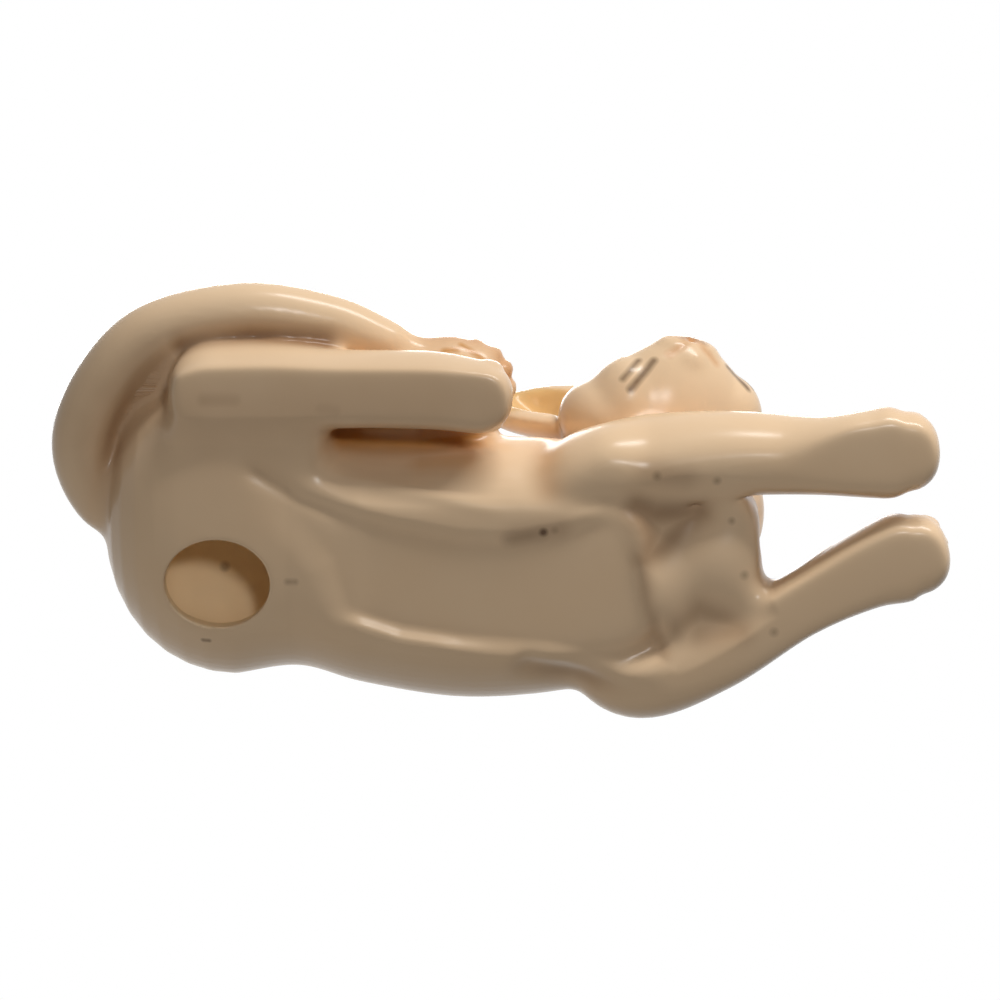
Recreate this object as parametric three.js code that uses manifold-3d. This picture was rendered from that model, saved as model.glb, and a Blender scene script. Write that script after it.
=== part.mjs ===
// A reclining porcelain cat: hollow slip castings luted together and glazed.
// Millimetres, +Z up. The cat faces +X, lies on the plane Z = 0 and looks to its right, towards -Y.
import * as THREE from "three";
import { mergeVertices } from "three/addons/utils/BufferGeometryUtils.js";
import Module from "manifold-3d";

const wasm = await Module();
wasm.setup();

// Casting
const wall = 3.2;
const luteGap = 0.3;
const ventLength = 18;
const ventWidth = 15.4;
const neckVentDiameter = 6;

// Torso
const torsoLength = 113;
const torsoWidth = 46;
const torsoHeight = 38;
const torsoWaist = 15;
const rumpX = -69;
const torsoY = 14;
const breastLength = 14.5;
const breastWidth = 17;
const breastHeight = 20;
const brisketLength = 14;
const brisketWidth = 18;
const brisketHeight = 16.4;
const shoulderLength = 26;
const shoulderWidth = 14.6;
const shoulderHeight = 29;
const neckFoldLength = 17;
const neckFoldWidth = 12;
const neckFoldHeight = 14;
const chestGrooveWidth = 4;
const chestGrooveDepth = 1.6;

// Head
const headLength = 33;
const headWidth = 31.2;
const headHeight = 24;
const headTurn = 78;
const headTilt = 14;
const headBack = 7;
const headAside = 21.6;
const headRise = 30;
const neckDiameter = 23;
const cheekLength = 15;
const cheekWidth = 14;
const muzzlePadWidth = 5.8;
const chinWidth = 6;
const noseWidth = 4;

// Ears
const earLength = 19.5;
const earWidth = 17;
const earThickness = 5;
const earRim = 1.6;
const earSpread = 22.4;
const earRise = 7.2;
const earLean = 58;
const earTurn = 14;

// Legs, heights measured from the table
const forelegWidth = 13;
const forelegHeight = 12.2;
const forepawWidth = 15.8;
const rightReach = 74.4;
const rightLegY = -6.3;
const leftReach = 76.4;
const leftShoulderY = 32;
const leftPawY = 10.6;
const hindFootWidth = 13.6;
const hindFootHeight = 12;
const hindReach = 2.6;
const hindFootAside = 9.4;
const hockX = -56;
const lowerThighWidth = 29;
const lowerThighHeight = 16.4;
const upperFootWidth = 12.4;
const upperFootHeight = 11;
const thighWidth = 30.8;
const thighHeight = 27.2;

// Tail
const tailDiameter = 10.4;
const tailTipDiameter = 8.4;
const tailSweep = 51;
const tailReach = 8.6;
const tailSpread = 17;

// Toes
const toeCount = 4;
const toeLength = 4.6;

// Materials
const glazeColour = 0xf3e9dc;
const goldColour = 0xe3c392;

function solidOf(geometry, matrix) {
  const shape = geometry.clone();
  if (matrix) {
    shape.applyMatrix4(matrix);
  }
  shape.deleteAttribute("normal");
  shape.deleteAttribute("uv");
  const welded = mergeVertices(shape, 1e-4);
  const vertProperties = new Float32Array(welded.attributes.position.array);
  const triVerts = new Uint32Array(welded.index.array);
  return new wasm.Manifold(new wasm.Mesh({ numProp: 3, vertProperties, triVerts }));
}

function ellipsoid(centre, length, width, height, grow, place, around = 14) {
  const ball = new THREE.SphereGeometry(1, around, Math.round(around * 0.65));
  ball.rotateX(Math.PI / 2);
  ball.scale(length / 2 + grow, width / 2 + grow, height / 2 + grow);
  ball.translate(...centre);
  return solidOf(ball, place);
}

// A closed skin through rings of points, its two ends drawn to single points.
function skin(rings, first, last, place) {
  const sides = rings[0].length;
  const points = [first, ...rings.flat(), last];
  const faces = [];
  for (let i = 0; i < sides; i += 1) {
    const next = (i + 1) % sides;
    faces.push(0, 1 + next, 1 + i);
    for (let r = 0; r < rings.length - 1; r += 1) {
      const near = 1 + r * sides;
      const far = near + sides;
      faces.push(near + i, near + next, far + next);
      faces.push(near + i, far + next, far + i);
    }
    const end = 1 + (rings.length - 1) * sides;
    faces.push(points.length - 1, end + i, end + next);
  }
  const geometry = new THREE.BufferGeometry();
  geometry.setFromPoints(points);
  geometry.setIndex(faces);
  return solidOf(geometry, place);
}

// One ring about a centre, with its own half sizes to the right, left, top and underside.
function ring(centre, leftward, upward, half, sides, squareness, floor) {
  const points = [];
  for (let i = 0; i < sides; i += 1) {
    const angle = (i / sides) * 2 * Math.PI;
    const c = Math.cos(angle);
    const s = Math.sin(angle);
    const across = Math.sign(c) * Math.abs(c) ** squareness * (c > 0 ? half.left : half.right);
    const rise = Math.sign(s) * Math.abs(s) ** squareness * (s > 0 ? half.up : half.down);
    const point = centre.clone().addScaledVector(leftward, across).addScaledVector(upward, rise);
    point.z = Math.max(point.z, floor);
    points.push(point);
  }
  return points;
}

// A loft along a curve. Each station is a centre and its half sizes; both ends are rounded off.
function loft(stations, options, grow, place) {
  const { steps, sides, squareness, endLength, capSteps, floor, upHint, axis } = options;
  const centres = new THREE.CatmullRomCurve3(stations.map((s) => s.at), false, "centripetal");
  const across = stations.map((s) => new THREE.Vector3(s.right ?? s.wide, s.left ?? s.wide, 0));
  const rises = stations.map((s) => new THREE.Vector3(s.up ?? s.tall, s.down ?? s.tall, 0));
  const acrossCurve = new THREE.CatmullRomCurve3(across, false, "catmullrom", 0.5);
  const riseCurve = new THREE.CatmullRomCurve3(rises, false, "catmullrom", 0.5);
  const lowest = floor === undefined ? -Infinity : floor - grow;
  const rings = [];
  const addRing = (t, push, shrink) => {
    const along = axis ? axis.clone() : centres.getTangent(t);
    const leftward = upHint.clone().cross(along).normalize();
    const upward = along.clone().cross(leftward);
    const centre = centres.getPoint(t).addScaledVector(along, push);
    const w = acrossCurve.getPoint(t);
    const h = riseCurve.getPoint(t);
    const half = {
      right: (w.x + grow) * shrink,
      left: (w.y + grow) * shrink,
      up: (h.x + grow) * shrink,
      down: (h.y + grow) * shrink,
    };
    rings.push(ring(centre, leftward, upward, half, sides, squareness, lowest));
  };
  for (let k = capSteps - 1; k > 0; k -= 1) {
    const angle = (k / capSteps) * (Math.PI / 2);
    addRing(0, -(endLength[0] + grow) * Math.sin(angle), Math.cos(angle) ** 0.8);
  }
  for (let k = 0; k <= steps; k += 1) {
    addRing(k / steps, 0, 1);
  }
  for (let k = 1; k < capSteps; k += 1) {
    const angle = (k / capSteps) * (Math.PI / 2);
    addRing(1, (endLength[1] + grow) * Math.sin(angle), Math.cos(angle) ** 0.8);
  }
  const apex = (t, push) => {
    const tip = centres.getPoint(t).addScaledVector(axis ?? centres.getTangent(t), push);
    tip.z = Math.max(tip.z, lowest);
    return tip;
  };
  return skin(rings, apex(0, -(endLength[0] + grow)), apex(1, endLength[1] + grow), place);
}

const zAxis = new THREE.Vector3(0, 0, 1);
const v = (x, y, z) => new THREE.Vector3(x, y, z);

// Torso: shares along the length, of the half width to either side, of the height above the waist,
// and the underside below the waist. The breast end lifts off the table.
const torsoShape = [
  { along: 0.2, right: 1.56, left: 0.86, up: 1.0, down: 1.22 },
  { along: 0.3, right: 1.26, left: 0.79, up: 0.98, down: 1.22 },
  { along: 0.4, right: 1.0, left: 0.91, up: 0.9, down: 1.22 },
  { along: 0.55, right: 0.98, left: 1.02, up: 0.84, down: 1.22 },
  { along: 0.7, right: 0.95, left: 0.98, up: 0.87, down: 1.22 },
  { along: 0.82, right: 0.84, left: 0.84, up: 0.92, down: 1.16 },
  { along: 0.91, right: 0.62, left: 0.56, up: 0.74, down: 0.62 },
  { along: 0.96, right: 0.42, left: 0.36, up: 0.44, down: 0.36 },
];
const torsoOptions = {
  steps: 17,
  sides: 30,
  squareness: 0.92,
  endLength: [torsoShape[0].along * torsoLength, 4],
  capSteps: 7,
  floor: 0,
  upHint: zAxis,
  axis: v(1, 0, 0),
};

function torso(grow, fineness = {}) {
  const half = torsoWidth / 2;
  const stations = torsoShape.map((s) => ({
    at: v(rumpX + s.along * torsoLength, torsoY + ((s.left - s.right) / 2) * half, torsoWaist),
    wide: ((s.left + s.right) / 2) * half,
    up: s.up * (torsoHeight - torsoWaist),
    down: s.down * torsoWaist,
  }));
  return loft(stations, { ...torsoOptions, ...fineness }, grow);
}

// Neck, breast, brisket and shoulders grow out of the torso towards the head and the forelegs. The neck
// folds on the side that the head is turned to.
const breastX = rumpX + torsoLength - breastLength / 2;
const headPlace = v(breastX - headBack, torsoY - headAside, headRise);
const neckStations = [
  { at: v(breastX - 8, torsoY - 1, torsoWaist + 3), wide: neckDiameter * 0.58, tall: neckDiameter * 0.56 },
  { at: v(breastX - 2.6, torsoY - 8, torsoWaist + 8), wide: neckDiameter * 0.55, tall: neckDiameter * 0.5 },
  { at: headPlace.clone().add(v(1, 7, -3)), wide: neckDiameter * 0.52, tall: neckDiameter * 0.45 },
];
const neckOptions = { steps: 6, sides: 20, squareness: 1, endLength: [3, 3], capSteps: 5, upHint: zAxis };

function bodyOuter(grow) {
  const foldPlace = [headPlace.x - neckFoldLength * 0.68, headPlace.y - 1, headPlace.z - neckFoldHeight * 0.3];
  const breastPlace = [breastX, torsoY - breastWidth * 0.08, breastHeight * 0.53];
  const brisketPlace = [breastX - breastLength / 2, torsoY + brisketWidth * 0.2, brisketHeight * 0.57];
  const shoulderPlace = (side, rise) => [
    breastX - shoulderLength * 0.7, torsoY + side * torsoWidth * 0.31, shoulderHeight * rise,
  ];
  return torso(grow)
    .add(loft(neckStations, neckOptions, grow))
    .add(ellipsoid(foldPlace, neckFoldLength, neckFoldWidth, neckFoldHeight, grow))
    .add(ellipsoid(breastPlace, breastLength, breastWidth, breastHeight, grow))
    .add(ellipsoid(brisketPlace, brisketLength, brisketWidth, brisketHeight, grow))
    .add(ellipsoid(shoulderPlace(-1, 0.72), shoulderLength, shoulderWidth, shoulderHeight, grow))
    .add(ellipsoid(shoulderPlace(1, 0.52), shoulderLength, shoulderWidth, shoulderHeight, grow));
}

// A straight bore between two points.
function bore(from, to, diameter) {
  const length = from.distanceTo(to);
  const rod = new THREE.CylinderGeometry(diameter / 2, diameter / 2, length, 24);
  const turn = new THREE.Quaternion().setFromUnitVectors(v(0, 1, 0), to.clone().sub(from).normalize());
  const middle = from.clone().add(to).multiplyScalar(0.5);
  return solidOf(rod, new THREE.Matrix4().compose(middle, turn, v(1, 1, 1)));
}

const neckVent = bore(
  v(breastX - 14, torsoY + 2, torsoWaist + 2), headPlace.clone().add(v(0, 2, -1)), neckVentDiameter,
);

function bodyShell() {
  const vent = new THREE.CylinderGeometry(0.5, 0.5, wall * 3, 40);
  vent.rotateX(Math.PI / 2);
  vent.scale(ventLength, ventWidth, 1);
  vent.translate(rumpX + 0.19 * torsoLength, torsoY + 0.6, wall / 2);
  const grooveX = rumpX + 0.82 * torsoLength;
  const groovePath = new THREE.CatmullRomCurve3([
    v(grooveX - 1, torsoY - torsoWidth / 2, 0),
    v(grooveX - 1, torsoY - 4, 0),
    v(grooveX, torsoY + 6, 0),
    v(grooveX + 4, torsoY + 14, 0),
    v(grooveX + 14, torsoY + torsoWidth / 2, 0),
  ]);
  const grooveSection = new THREE.Shape();
  grooveSection.absellipse(0, 0, chestGrooveDepth, chestGrooveWidth / 2, 0, 2 * Math.PI);
  const groove = new THREE.ExtrudeGeometry(grooveSection, {
    steps: 16, curveSegments: 5, bevelEnabled: false, extrudePath: groovePath,
  });
  return bodyOuter(0)
    .subtract(torso(-wall, { steps: 13, sides: 20 }))
    .subtract(solidOf(vent))
    .subtract(solidOf(groove))
    .subtract(neckVent);
}

// Head, in its own frame: X to the nose, Y to the cat's left cheek, Z to the crown.
const headFrame = new THREE.Matrix4()
  .makeRotationFromEuler(new THREE.Euler(
    THREE.MathUtils.degToRad(headTilt), 0, THREE.MathUtils.degToRad(-headTurn), "ZYX",
  ))
  .setPosition(headPlace);
const headShape = [
  { along: 0.04, wide: 0.54, up: 0.58, down: 0.5 },
  { along: 0.14, wide: 0.77, up: 0.86, down: 0.74 },
  { along: 0.32, wide: 0.98, up: 1.03, down: 0.9 },
  { along: 0.5, wide: 1.0, up: 0.98, down: 0.9 },
  { along: 0.64, wide: 0.96, up: 0.86, down: 0.84 },
  { along: 0.76, wide: 0.8, up: 0.59, down: 0.74 },
  { along: 0.86, wide: 0.57, up: 0.4, down: 0.6 },
  { along: 0.93, wide: 0.35, up: 0.28, down: 0.47 },
];
const headOptions = {
  steps: 14, sides: 28, squareness: 0.95, endLength: [2, 2], capSteps: 5, upHint: zAxis,
};
const headX = (share) => (share - 0.47) * headLength;

function headSkin(grow, fineness = {}) {
  const stations = headShape.map((s) => ({
    at: v(headX(s.along), 0, 0),
    wide: (s.wide * headWidth) / 2,
    up: (s.up * headHeight) / 2,
    down: (s.down * headHeight) / 2,
  }));
  return loft(stations, { ...headOptions, ...fineness }, grow, headFrame);
}

function headOuter(grow) {
  const cheek = cheekWidth;
  const cheekPlace = (side) => [headX(0.61), side * headWidth * 0.263, -headHeight * 0.09];
  const pad = muzzlePadWidth;
  const padPlace = (side) => [headX(0.894), side * pad * 0.4, -headHeight * 0.083];
  const chin = chinWidth;
  const chinPlace = [headX(0.852), 0, -headHeight * 0.225];
  const nose = noseWidth;
  const nosePlace = [headX(0.973), 0, headHeight * 0.058];
  return headSkin(grow)
    .add(ellipsoid(cheekPlace(-1), cheekLength, cheek, cheek, grow, headFrame))
    .add(ellipsoid(cheekPlace(1), cheekLength, cheek, cheek, grow, headFrame))
    .add(ellipsoid(padPlace(-1), pad * 1.1, pad, pad * 0.97, grow, headFrame, 12))
    .add(ellipsoid(padPlace(1), pad * 1.1, pad, pad * 0.97, grow, headFrame, 12))
    .add(ellipsoid(chinPlace, chin * 1.1, chin, chin * 0.9, grow, headFrame, 12))
    .add(ellipsoid(nosePlace, nose * 0.9, nose, nose * 0.75, grow, headFrame, 12));
}

// Ears, in the head frame: a leaf along the lean direction, turned outwards about its own length.
const earShape = [
  { along: -0.3, wide: 0.92 },
  { along: 0, wide: 1.0 },
  { along: 0.33, wide: 0.98 },
  { along: 0.62, wide: 0.84 },
  { along: 0.84, wide: 0.58 },
];

function earBlade(side, width, forward) {
  const lean = THREE.MathUtils.degToRad(earLean);
  const turn = THREE.MathUtils.degToRad(earTurn);
  const outward = v(-0.1, side * Math.sin(lean), Math.cos(lean)).normalize();
  const aside = v(0, side * Math.cos(lean), -Math.sin(lean));
  const front = v(Math.cos(turn), 0, 0).addScaledVector(aside, Math.sin(turn));
  front.addScaledVector(outward, -front.dot(outward)).normalize();
  const root = v(headX(0.39), (side * earSpread) / 2, earRise).addScaledVector(front, forward);
  const stations = earShape.map((s) => ({
    at: root.clone().addScaledVector(outward, s.along * earLength),
    wide: (s.wide * width) / 2,
    tall: (earThickness / 2) * (0.45 + 0.55 * s.wide),
  }));
  const options = {
    steps: 7, sides: 16, squareness: 1, endLength: [1, earLength * 0.13], capSteps: 4, upHint: front,
  };
  return loft(stations, options, 0, headFrame);
}

// The same leaf, narrower by the rim and moved forward, hollows the face side.
function ear(side) {
  const scoop = earBlade(side, earWidth - 2 * earRim, earThickness / 2);
  return earBlade(side, earWidth, 0).subtract(scoop);
}

// Toes stand in a row across the end of a paw.
function toes(end, heading, width, height, grow) {
  const ahead = v(Math.cos(heading), Math.sin(heading), 0);
  const aside = v(-Math.sin(heading), Math.cos(heading), 0);
  const toeWidth = (width / toeCount) * 1.12;
  let row = null;
  for (let i = 0; i < toeCount; i += 1) {
    const place = (i - (toeCount - 1) / 2) / toeCount;
    const centre = end.clone()
      .addScaledVector(aside, place * width * 0.94)
      .addScaledVector(ahead, -toeLength / 2 - Math.abs(place) ** 2 * toeLength * 3);
    const frame = new THREE.Matrix4().makeRotationZ(heading).setPosition(centre);
    const toe = ellipsoid([0, 0, 0], toeLength, toeWidth, height * 0.72, grow, frame, 10);
    row = row ? row.add(toe) : toe;
  }
  return row;
}

const legOptions = { steps: 12, sides: 16, squareness: 0.94, floor: 0, capSteps: 5, upHint: zAxis };

// A leg's stations: shares of the way along it, of the step aside, and of its height and half sizes.
function legStations(shape, startX, endX, yAt, width, height) {
  const rise = height * 0.54;
  const low = height - rise;
  return shape.map((s) => ({
    at: v(startX + s.along * (endX - startX), yAt(s.aside), low * s.lift),
    wide: (width / 2) * s.wide,
    tall: rise * s.tall,
  }));
}

const rightForelegShape = [
  { along: 0, aside: 0.56, lift: 1.87, wide: 1.23, tall: 1.49 },
  { along: 0.12, aside: 0.24, lift: 1.75, wide: 1.18, tall: 1.52 },
  { along: 0.27, aside: 0.08, lift: 1.46, wide: 1.14, tall: 1.34 },
  { along: 0.5, aside: -0.03, lift: 1.1, wide: 1.07, tall: 1.08 },
  { along: 0.74, aside: -0.03, lift: 1, wide: 1, tall: 1 },
  { along: 0.9, aside: -0.05, lift: 1, wide: 1.15, tall: 1 },
  { along: 1, aside: -0.09, lift: 1, wide: 1.21, tall: 1 },
];

function rightForeleg(grow) {
  const end = forepawWidth * 0.42;
  const yAt = (aside) => rightLegY + aside * forelegWidth;
  const elbowX = breastX - shoulderLength * 1.03;
  const pawX = rightReach - end;
  const stations = legStations(rightForelegShape, elbowX, pawX, yAt, forelegWidth, forelegHeight);
  const toeEnd = v(rightReach, rightLegY - forepawWidth * 0.08, forelegHeight * 0.4);
  return loft(stations, { ...legOptions, endLength: [4, end] }, grow)
    .add(toes(toeEnd, 0, forepawWidth * 0.94, forelegHeight, grow));
}

// The left foreleg comes out of the shoulder and crosses inwards to its paw.
const leftForelegShape = [
  { along: 0, aside: 0.28, lift: 2.6, wide: 1.21, tall: 1.8 },
  { along: 0.16, aside: 0, lift: 1.64, wide: 1.21, tall: 1.45 },
  { along: 0.4, aside: 0.19, lift: 1.18, wide: 1, tall: 1.12 },
  { along: 0.65, aside: 0.57, lift: 1, wide: 0.94, tall: 1 },
  { along: 0.85, aside: 0.86, lift: 1, wide: 1.05, tall: 1 },
  { along: 1, aside: 1, lift: 1, wide: 1.21, tall: 1 },
];

function leftForeleg(grow) {
  const end = forepawWidth * 0.4;
  const yAt = (aside) => leftShoulderY + aside * (leftPawY - leftShoulderY);
  const elbowX = breastX - shoulderLength * 0.85;
  const pawX = leftReach - end;
  const stations = legStations(leftForelegShape, elbowX, pawX, yAt, forelegWidth, forelegHeight);
  const toeEnd = v(leftReach, leftPawY, forelegHeight * 0.4);
  return loft(stations, { ...legOptions, endLength: [4, end] }, grow)
    .add(toes(toeEnd, 0, forepawWidth * 0.92, forelegHeight, grow));
}

const hindFootY = torsoY - torsoWidth / 2 - hindFootAside;
const hindLength = hindReach - hockX;
const lowerFootShape = [
  { along: 0, aside: 0.09, lift: 1.18, wide: 1.36, tall: 1.15 },
  { along: 0.23, aside: 0.01, lift: 1.1, wide: 1.24, tall: 1.1 },
  { along: 0.48, aside: 0, lift: 1, wide: 1, tall: 1 },
  { along: 0.81, aside: 0.04, lift: 1, wide: 0.96, tall: 1 },
  { along: 1, aside: 0.11, lift: 1, wide: 0.91, tall: 1 },
];
const lowerThighShape = [
  { along: 0.1, aside: 0.29, lift: 0.99, wide: 0.9, tall: 0.96 },
  { along: 0.24, aside: 0.32, lift: 0.99, wide: 1, tall: 0.97 },
  { along: 0.37, aside: 0.34, lift: 0.96, wide: 0.9, tall: 0.91 },
];

// The lower hind leg lies flat: its thigh under the haunch, and the hock and foot beside it.
function lowerHindLeg(grow) {
  const end = hindFootWidth * 0.45;
  const heel = hockX + hindFootWidth * 0.59;
  const footY = (aside) => hindFootY + aside * hindFootWidth;
  const thighY = (aside) => hindFootY + aside * lowerThighWidth;
  const foot = legStations(lowerFootShape, heel, hindReach - end, footY, hindFootWidth, hindFootHeight);
  const thigh = legStations(lowerThighShape, hockX, hindReach, thighY, lowerThighWidth, lowerThighHeight);
  const toeEnd = v(hindReach, footY(0.11), hindFootHeight * 0.4);
  const thighEnds = [lowerThighWidth * 0.24, lowerThighWidth * 0.19];
  return loft(foot, { ...legOptions, endLength: [hindFootWidth * 0.59, end] }, grow)
    .add(loft(thigh, { ...legOptions, steps: 8, endLength: thighEnds }, grow))
    .add(toes(toeEnd, 0, hindFootWidth * 0.86, hindFootHeight, grow));
}

// Shares of the hind leg's length, of the step aside and of the height over the lower foot.
const upperThighShape = [
  { along: -0.05, aside: 0.27, lift: 0.21, wide: 0.96, tall: 0.97 },
  { along: 0.19, aside: 0.4, lift: 0.25, wide: 1, tall: 1 },
  { along: 0.48, aside: 0.35, lift: 0.19, wide: 0.82, tall: 0.9 },
  { along: 0.73, aside: 0.25, lift: 0.08, wide: 0.55, tall: 0.69 },
  { along: 0.87, aside: 0.22, lift: 0.04, wide: 0.36, tall: 0.5 },
];
const upperFootShape = [
  { along: 0.38, aside: 0.32, lift: 0.27, wide: 1.19, tall: 1.2 },
  { along: 0.61, aside: 0, lift: 0.05, wide: 1.02, tall: 1.05 },
  { along: 0.78, aside: -0.1, lift: 0, wide: 1, tall: 1 },
  { along: 0.88, aside: -0.06, lift: 0, wide: 0.94, tall: 0.98 },
];

// The upper thigh runs forward along the flank to the knee, and its foot lies on the lower one.
function upperHindLeg(grow) {
  const base = hindFootHeight + upperFootHeight / 2;
  const stationsOf = (shape, width, height) => shape.map((s) => ({
    at: v(hockX + s.along * hindLength, hindFootY + s.aside * width, base + s.lift * height),
    wide: (width / 2) * s.wide,
    tall: (height / 2) * s.tall,
  }));
  const options = { ...legOptions, steps: 10, floor: undefined };
  const thigh = stationsOf(upperThighShape, thighWidth, thighHeight);
  const foot = stationsOf(upperFootShape, upperFootWidth, upperFootHeight);
  const toeEnd = v(hindReach - upperFootWidth * 0.2, hindFootY - upperFootWidth * 0.2, base);
  return loft(thigh, { ...options, sides: 20, endLength: [thighWidth * 0.4, thighWidth * 0.15] }, grow)
    .add(loft(foot, { ...options, endLength: [upperFootWidth * 0.32, upperFootWidth * 0.42] }, grow))
    .add(toes(toeEnd, -0.6, upperFootWidth * 0.94, upperFootHeight, grow));
}

// Tail: shares of the sweep forward, of the way across the rump and of the waist height.
const tailShape = [
  { along: 0.2, across: 0.14, rise: 1.27 },
  { along: 0.06, across: 0.29, rise: 1 },
  { along: 0, across: 0.5, rise: 0.8 },
  { along: 0.09, across: 0.74, rise: 0.73 },
  { along: 0.28, across: 0.92, rise: 0.73 },
  { along: 0.57, across: 1, rise: 0.8 },
  { along: 0.84, across: 0.95, rise: 0.93 },
  { along: 1, across: 0.87, rise: 1.07 },
];
const tailOptions = { steps: 20, sides: 16, squareness: 1, capSteps: 4, upHint: zAxis };

// The tail leaves the rump, curls round the hock and ends at the upper foot.
function tail(grow) {
  const thick = tailDiameter / 2;
  const thin = tailTipDiameter / 2;
  const left = rumpX - tailReach + thick;
  const near = hindFootY - tailSpread + thick;
  const stations = tailShape.map((s) => {
    const half = s.along === 1 ? thin : thick;
    const y = torsoY + s.across * (near - torsoY);
    return { at: v(left + s.along * tailSweep, y, s.rise * torsoWaist), wide: half, tall: half };
  });
  return loft(stations, { ...tailOptions, endLength: [2, thin] }, grow);
}

// Each casting is cut back from the one it is luted to, by the thickness of the slip joint.
const bodyCut = bodyOuter(luteGap);
const lowerHindCut = lowerHindLeg(luteGap);
const rightForelegCut = rightForeleg(luteGap);
const upperHindCut = upperHindLeg(luteGap);
const headSolid = headOuter(0)
  .subtract(bodyCut)
  .subtract(headSkin(-wall, { steps: 8, sides: 16 }))
  .subtract(neckVent)
  .subtract(rightForelegCut);
const headCut = headOuter(luteGap);
const tailSolid = tail(0).subtract(bodyCut).subtract(lowerHindCut).subtract(upperHindCut);

const glaze = () => new THREE.MeshStandardMaterial({ color: glazeColour, roughness: 0.15, metalness: 0 });
const gold = () => new THREE.MeshStandardMaterial({ color: goldColour, roughness: 0.2, metalness: 0 });

function node(name, solid, material) {
  const mesh = solid.getMesh();
  const geometry = new THREE.BufferGeometry();
  geometry.setAttribute("position", new THREE.BufferAttribute(new Float32Array(mesh.vertProperties), 3));
  geometry.setIndex(new THREE.BufferAttribute(new Uint32Array(mesh.triVerts), 1));
  geometry.computeVertexNormals();
  const piece = new THREE.Mesh(geometry, material);
  piece.name = name;
  return piece;
}

const group = new THREE.Group();
group.name = "porcelain_cat";
group.add(node("body_shell", bodyShell(), glaze()));
group.add(node("head", headSolid, glaze()));
group.add(node("right_ear", ear(-1).subtract(headCut).subtract(bodyCut), gold()));
group.add(node("left_ear", ear(1).subtract(headCut).subtract(bodyCut), gold()));
group.add(node("right_foreleg", rightForeleg(0).subtract(bodyCut), glaze()));
group.add(node("left_foreleg", leftForeleg(0).subtract(bodyCut).subtract(rightForelegCut), glaze()));
group.add(node("lower_hind_leg", lowerHindLeg(0).subtract(bodyCut), glaze()));
group.add(node("upper_hind_leg", upperHindLeg(0).subtract(bodyCut).subtract(lowerHindCut), glaze()));
group.add(node("tail", tailSolid, glaze()));

// The figure stands centred over the origin.
const extent = new THREE.Box3().setFromObject(group);
const middle = extent.getCenter(new THREE.Vector3());
group.position.set(-middle.x, -middle.y, -extent.min.z);

export default group;
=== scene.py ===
import math

import bmesh
import bpy
import numpy as np
from mathutils import Matrix, Vector
from mathutils.bvhtree import BVHTree


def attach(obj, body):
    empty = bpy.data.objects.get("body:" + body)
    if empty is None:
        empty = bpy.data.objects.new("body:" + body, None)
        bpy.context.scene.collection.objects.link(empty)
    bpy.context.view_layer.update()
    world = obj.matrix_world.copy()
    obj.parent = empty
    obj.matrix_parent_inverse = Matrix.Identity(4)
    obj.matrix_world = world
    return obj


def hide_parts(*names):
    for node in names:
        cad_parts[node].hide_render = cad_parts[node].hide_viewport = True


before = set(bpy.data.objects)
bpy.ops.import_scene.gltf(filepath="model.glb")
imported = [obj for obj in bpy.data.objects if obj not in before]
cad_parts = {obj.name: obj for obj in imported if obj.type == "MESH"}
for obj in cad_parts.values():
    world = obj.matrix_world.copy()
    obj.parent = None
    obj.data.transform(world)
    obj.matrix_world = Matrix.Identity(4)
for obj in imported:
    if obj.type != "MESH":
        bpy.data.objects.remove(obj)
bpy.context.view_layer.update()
mm = 0.001
figureZero = Vector((0.408, -1.952, 0.0))  # the cat's own zero in the frame, in mm
toFrame = Matrix.Scale(mm, 4) @ Matrix.Translation(figureZero)
alongX = Vector((1, 0, 0))


# Casting tools: everything is shaped in mm on the cat's own zero
def alongStations(stations, steps):
    rows = np.array(stations, float)
    spare = np.vstack([2 * rows[0] - rows[1], rows, 2 * rows[-1] - rows[-2]])
    out = []
    for k in range(steps + 1):
        t = k / steps * (len(rows) - 1)
        i = min(int(t), len(rows) - 2)
        u = t - i
        a, b, c, d = spare[i:i + 4]
        bend = (2 * a - 5 * b + 4 * c - d) * u * u + (3 * b - a - 3 * c + d) * u ** 3
        out.append((2 * b + (c - a) * u + bend) / 2)
    return out


def ringMatrix(centre, along, wide, tall):
    side = Vector((0, 0, 1)).cross(along).normalized()
    up = along.cross(side).normalized()
    turn = Matrix((side * wide, up * tall, along.normalized())).transposed()
    return Matrix.Translation(centre) @ turn.to_4x4()


roundEnd = {"rings": 8, "turn": math.radians(86)}  # how far round the rings of an end go


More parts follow.
